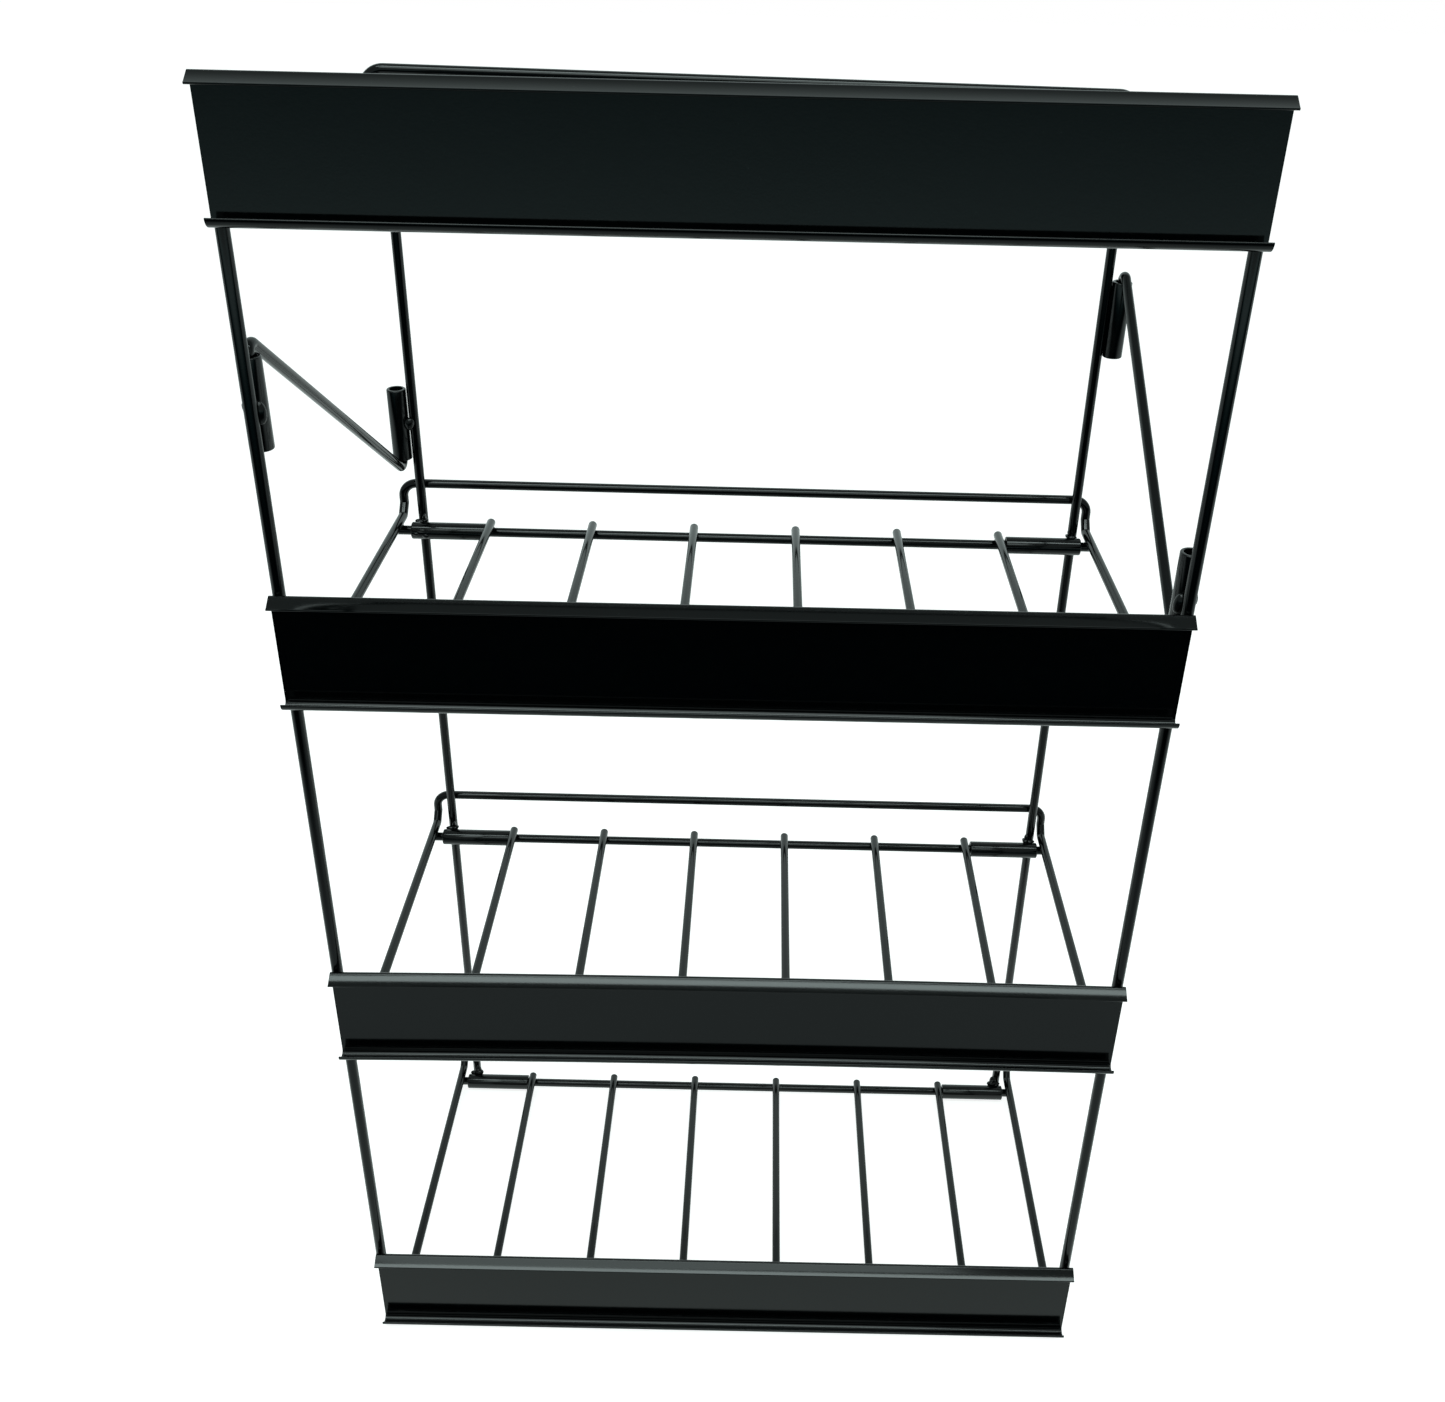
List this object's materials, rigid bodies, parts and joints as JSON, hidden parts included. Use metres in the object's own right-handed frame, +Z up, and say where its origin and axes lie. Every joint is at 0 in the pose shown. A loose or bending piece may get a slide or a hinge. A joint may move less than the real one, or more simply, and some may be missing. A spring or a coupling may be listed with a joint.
{
  "type": "wire display rack",
  "caption": "Free-standing black wire display rack: bent sheet header and fronts, wire shelves hinged on the rear frame, and two bent arms that join front and rear.",
  "frame": {"origin": "centre of the footprint, at floor level", "axes": "+X to the viewer's right across the rack, +Y to its back, +Z up"},
  "size_m": [0.463, 0.2315, 0.7982],
  "materials": {
    "rear_frame_wire": "satin black powder coat on steel wire",
    "rear_sleeve_left": "satin black powder coat on steel tube",
    "rear_sleeve_right": "satin black powder coat on steel tube",
    "hinge_tube_1_left": "satin black powder coat on steel tube",
    "hinge_tube_1_right": "satin black powder coat on steel tube",
    "hinge_tube_2_left": "satin black powder coat on steel tube",
    "hinge_tube_2_right": "satin black powder coat on steel tube",
    "hinge_tube_3_left": "satin black powder coat on steel tube",
    "hinge_tube_3_right": "satin black powder coat on steel tube",
    "front_upright_left": "satin black powder coat on steel wire",
    "front_upright_right": "satin black powder coat on steel wire",
    "header_panel": "satin black powder coat on bent sheet steel",
    "channel_1": "satin black powder coat on bent sheet steel",
    "channel_2": "satin black powder coat on bent sheet steel",
    "channel_3": "satin black powder coat on bent sheet steel",
    "front_sleeve_left": "satin black powder coat on steel tube",
    "front_sleeve_right": "satin black powder coat on steel tube",
    "left_arm": "satin black powder coat on steel wire",
    "right_arm": "satin black powder coat on steel wire",
    "shelf_1_edge": "satin black powder coat on steel wire",
    "shelf_1_axle": "satin black powder coat on steel wire",
    "shelf_1_rail": "satin black powder coat on steel wire",
    "shelf_1_runner_1": "satin black powder coat on steel wire",
    "shelf_1_runner_2": "satin black powder coat on steel wire",
    "shelf_1_runner_3": "satin black powder coat on steel wire",
    "shelf_1_runner_4": "satin black powder coat on steel wire",
    "shelf_1_runner_5": "satin black powder coat on steel wire",
    "shelf_1_runner_6": "satin black powder coat on steel wire",
    "shelf_2_edge": "satin black powder coat on steel wire",
    "shelf_2_axle": "satin black powder coat on steel wire",
    "shelf_2_rail": "satin black powder coat on steel wire",
    "shelf_2_runner_1": "satin black powder coat on steel wire",
    "shelf_2_runner_2": "satin black powder coat on steel wire",
    "shelf_2_runner_3": "satin black powder coat on steel wire",
    "shelf_2_runner_4": "satin black powder coat on steel wire",
    "shelf_2_runner_5": "satin black powder coat on steel wire",
    "shelf_2_runner_6": "satin black powder coat on steel wire",
    "shelf_3_edge": "satin black powder coat on steel wire",
    "shelf_3_axle": "satin black powder coat on steel wire",
    "shelf_3_rail": "satin black powder coat on steel wire",
    "shelf_3_runner_1": "satin black powder coat on steel wire",
    "shelf_3_runner_2": "satin black powder coat on steel wire",
    "shelf_3_runner_3": "satin black powder coat on steel wire",
    "shelf_3_runner_4": "satin black powder coat on steel wire",
    "shelf_3_runner_5": "satin black powder coat on steel wire",
    "shelf_3_runner_6": "satin black powder coat on steel wire"
  },
  "bodies": {
    "rear_frame": {"rear_frame_wire": "rear_frame_wire", "rear_sleeve_left": "rear_sleeve_left", "rear_sleeve_right": "rear_sleeve_right", "hinge_tube_1_left": "hinge_tube_1_left", "hinge_tube_1_right": "hinge_tube_1_right", "hinge_tube_2_left": "hinge_tube_2_left", "hinge_tube_2_right": "hinge_tube_2_right", "hinge_tube_3_left": "hinge_tube_3_left", "hinge_tube_3_right": "hinge_tube_3_right"},
    "front_frame": {"front_upright_left": "front_upright_left", "front_upright_right": "front_upright_right", "header_panel": "header_panel", "channel_1": "channel_1", "channel_2": "channel_2", "channel_3": "channel_3", "front_sleeve_left": "front_sleeve_left", "front_sleeve_right": "front_sleeve_right"},
    "left_arm": {"left_arm": "left_arm"},
    "right_arm": {"right_arm": "right_arm"},
    "shelf_1": {"shelf_1_edge": "shelf_1_edge", "shelf_1_axle": "shelf_1_axle", "shelf_1_rail": "shelf_1_rail", "shelf_1_runner_1": "shelf_1_runner_1", "shelf_1_runner_2": "shelf_1_runner_2", "shelf_1_runner_3": "shelf_1_runner_3", "shelf_1_runner_4": "shelf_1_runner_4", "shelf_1_runner_5": "shelf_1_runner_5", "shelf_1_runner_6": "shelf_1_runner_6"},
    "shelf_2": {"shelf_2_edge": "shelf_2_edge", "shelf_2_axle": "shelf_2_axle", "shelf_2_rail": "shelf_2_rail", "shelf_2_runner_1": "shelf_2_runner_1", "shelf_2_runner_2": "shelf_2_runner_2", "shelf_2_runner_3": "shelf_2_runner_3", "shelf_2_runner_4": "shelf_2_runner_4", "shelf_2_runner_5": "shelf_2_runner_5", "shelf_2_runner_6": "shelf_2_runner_6"},
    "shelf_3": {"shelf_3_edge": "shelf_3_edge", "shelf_3_axle": "shelf_3_axle", "shelf_3_rail": "shelf_3_rail", "shelf_3_runner_1": "shelf_3_runner_1", "shelf_3_runner_2": "shelf_3_runner_2", "shelf_3_runner_3": "shelf_3_runner_3", "shelf_3_runner_4": "shelf_3_runner_4", "shelf_3_runner_5": "shelf_3_runner_5", "shelf_3_runner_6": "shelf_3_runner_6"}
  },
  "joints": [
    {"name": "left_arm_swing", "type": "hinge", "parent": "rear_frame", "child": "left_arm", "pos_m": [-0.2155, 0.10666, 0.562], "axis": [0, 0, 1], "range_deg": [-20, 20]},
    {"name": "right_arm_swing", "type": "hinge", "parent": "rear_frame", "child": "right_arm", "pos_m": [0.2231, 0.10666, 0.643], "axis": [0, 0, 1], "range_deg": [-20, 20]},
    {"name": "front_frame_swing", "type": "hinge", "parent": "left_arm", "child": "front_frame", "pos_m": [-0.2256, -0.09396, 0.6475], "axis": [0, 0, 1], "range_deg": [-20, 20]},
    {"name": "shelf_1_lift", "type": "hinge", "parent": "rear_frame", "child": "shelf_1", "pos_m": [0.0038, 0.09786, 0.4938], "axis": [-1, 0, 0], "range_deg": [0, 8]},
    {"name": "shelf_2_lift", "type": "hinge", "parent": "rear_frame", "child": "shelf_2", "pos_m": [0.0038, 0.09786, 0.2498], "axis": [-1, 0, 0], "range_deg": [0, 85]},
    {"name": "shelf_3_lift", "type": "hinge", "parent": "rear_frame", "child": "shelf_3", "pos_m": [0.0038, 0.09786, 0.0058], "axis": [-1, 0, 0], "range_deg": [0, 85]}
  ],
  "couplings": [
    {"joint": "right_arm_swing", "follows": "left_arm_swing", "ratio": 1},
    {"joint": "front_frame_swing", "follows": "left_arm_swing", "ratio": -0.973}
  ]
}
